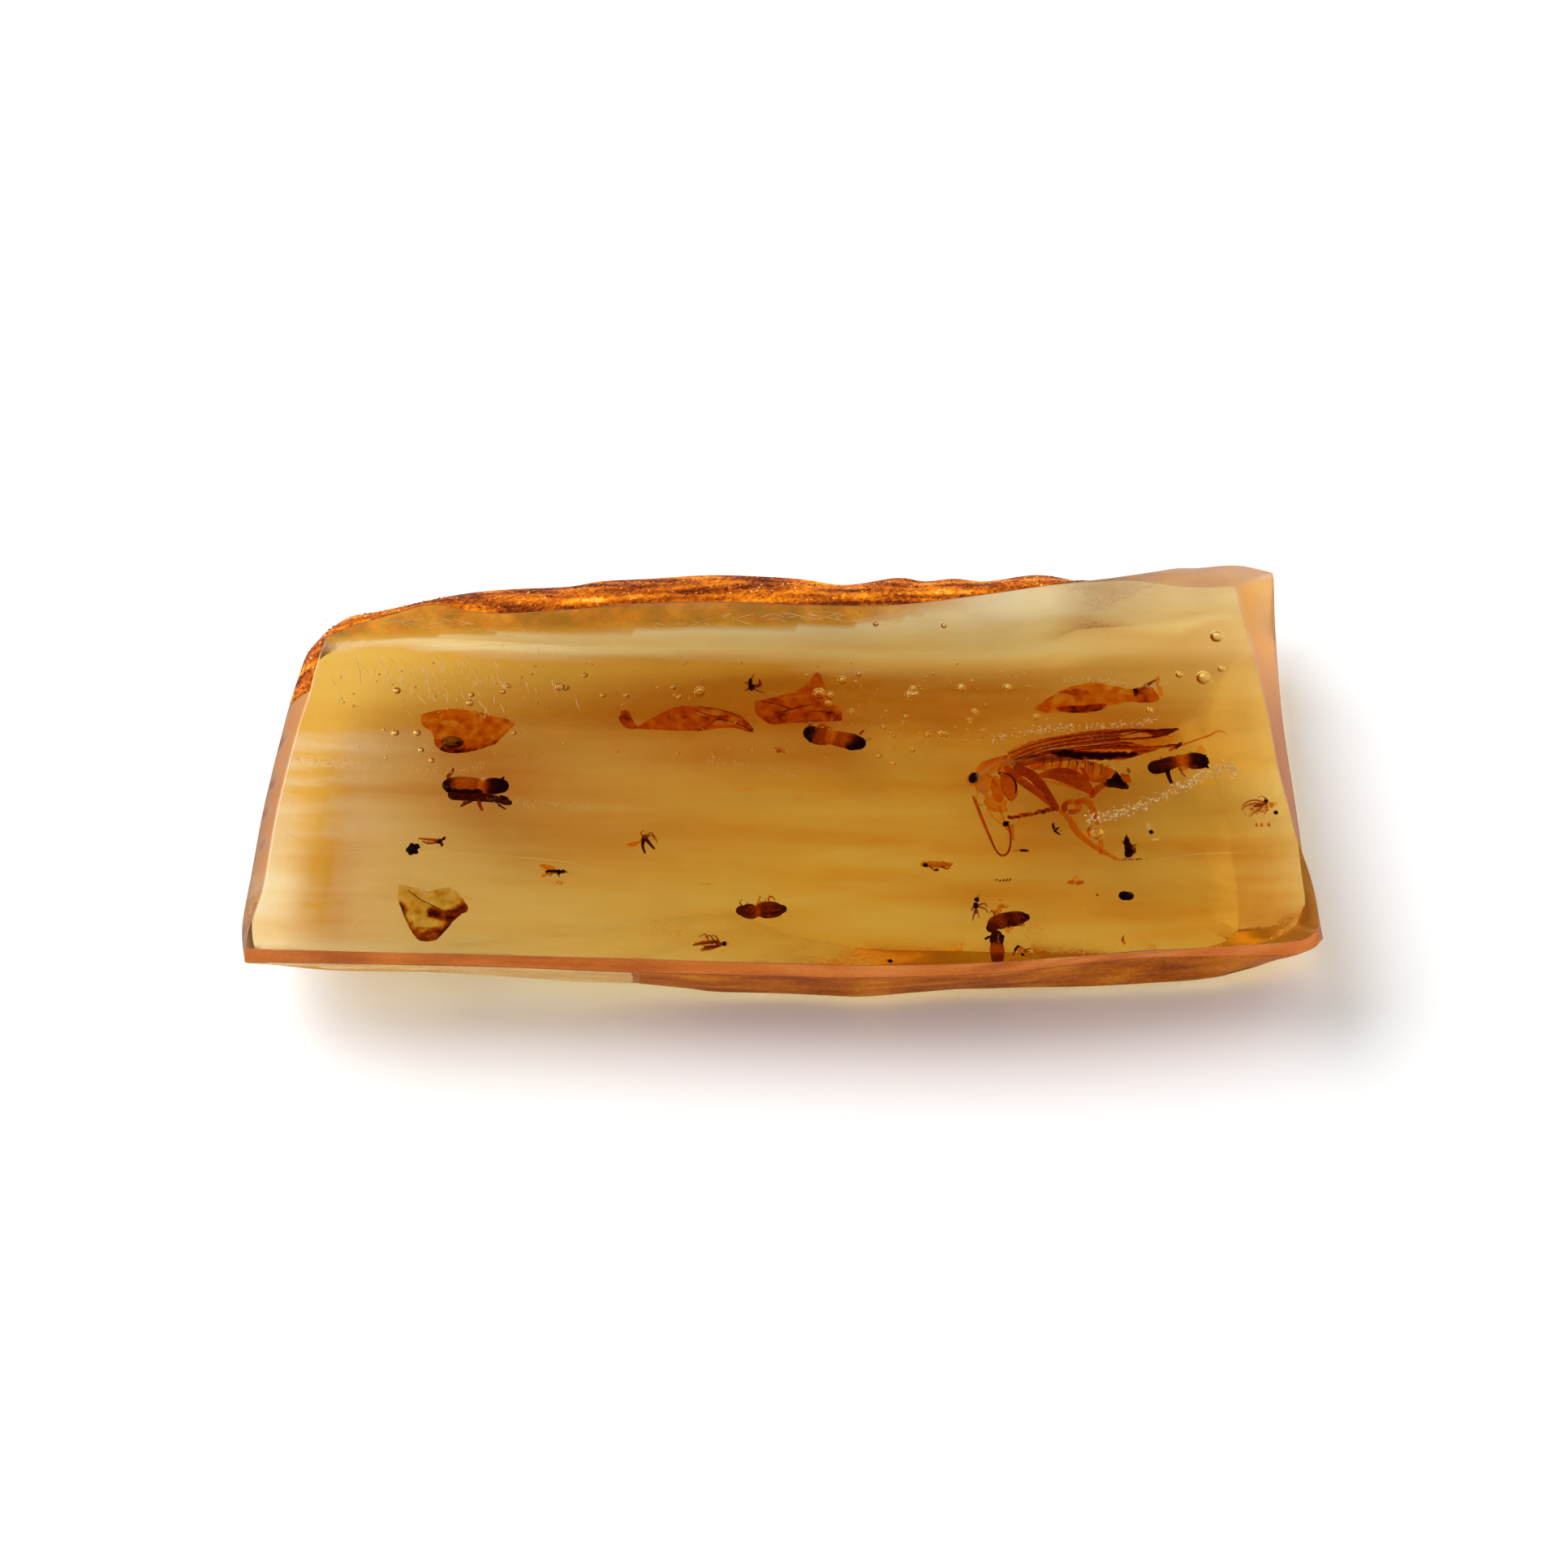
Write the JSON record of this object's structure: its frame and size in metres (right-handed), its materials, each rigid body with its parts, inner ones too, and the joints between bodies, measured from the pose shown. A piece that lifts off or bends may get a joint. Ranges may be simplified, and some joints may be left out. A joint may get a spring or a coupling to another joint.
{
  "type": "copal slab with insects",
  "caption": "Polished slab of clear golden copal with a natural domed underside, holding a cockroach, pinhole borers, small insects and leaf scraps. It lies on its keel.",
  "frame": {"origin": "bottom centre of the box around the slab, on the surface that it lies on", "axes": "+X along the slab's length with the cockroach at +X, +Y away from the thin ground front edge, +Z out of the polished face"},
  "size_m": [0.0895, 0.043, 0.0105],
  "materials": {
    "copal": "polished on the flat face, natural matt crust on the rear flank and underside",
    "cockroach_chitin": "translucent orange-brown chitin",
    "beetle_chitin": "dark brown chitin with orange patches",
    "small_insect_chitin": "brown chitin, translucent at the edges",
    "green_leaf": "olive-green dried leaf",
    "brown_leaf": "orange-brown dried leaf, torn at the edges",
    "seed_coat": "nearly black seed coat"
  },
  "bodies": {
    "root": {"copal_upper": "copal", "copal_lower": "copal", "cockroach": "cockroach_chitin", "oval_beetle": "cockroach_chitin", "pinhole_borer_right": "beetle_chitin", "pinhole_borer_centre": "beetle_chitin", "pinhole_borer_left": "beetle_chitin", "pinhole_borer_waisted": "beetle_chitin", "pinhole_borer_crossing": "beetle_chitin", "pinhole_borer_front": "beetle_chitin", "midge": "small_insect_chitin", "gnat": "small_insect_chitin", "winged_gnat": "small_insect_chitin", "gall_midge": "small_insect_chitin", "ant": "small_insect_chitin", "orange_gnat": "small_insect_chitin", "grub": "small_insect_chitin", "weevil": "small_insect_chitin", "hairy_bug": "small_insect_chitin", "thin_fly": "small_insect_chitin", "leaf_green": "green_leaf", "leaf_scale": "brown_leaf", "leaf_long": "brown_leaf", "leaf_cut": "brown_leaf", "leaf_torn": "brown_leaf", "seed": "seed_coat", "pellet": "seed_coat"}
  },
  "joints": []
}
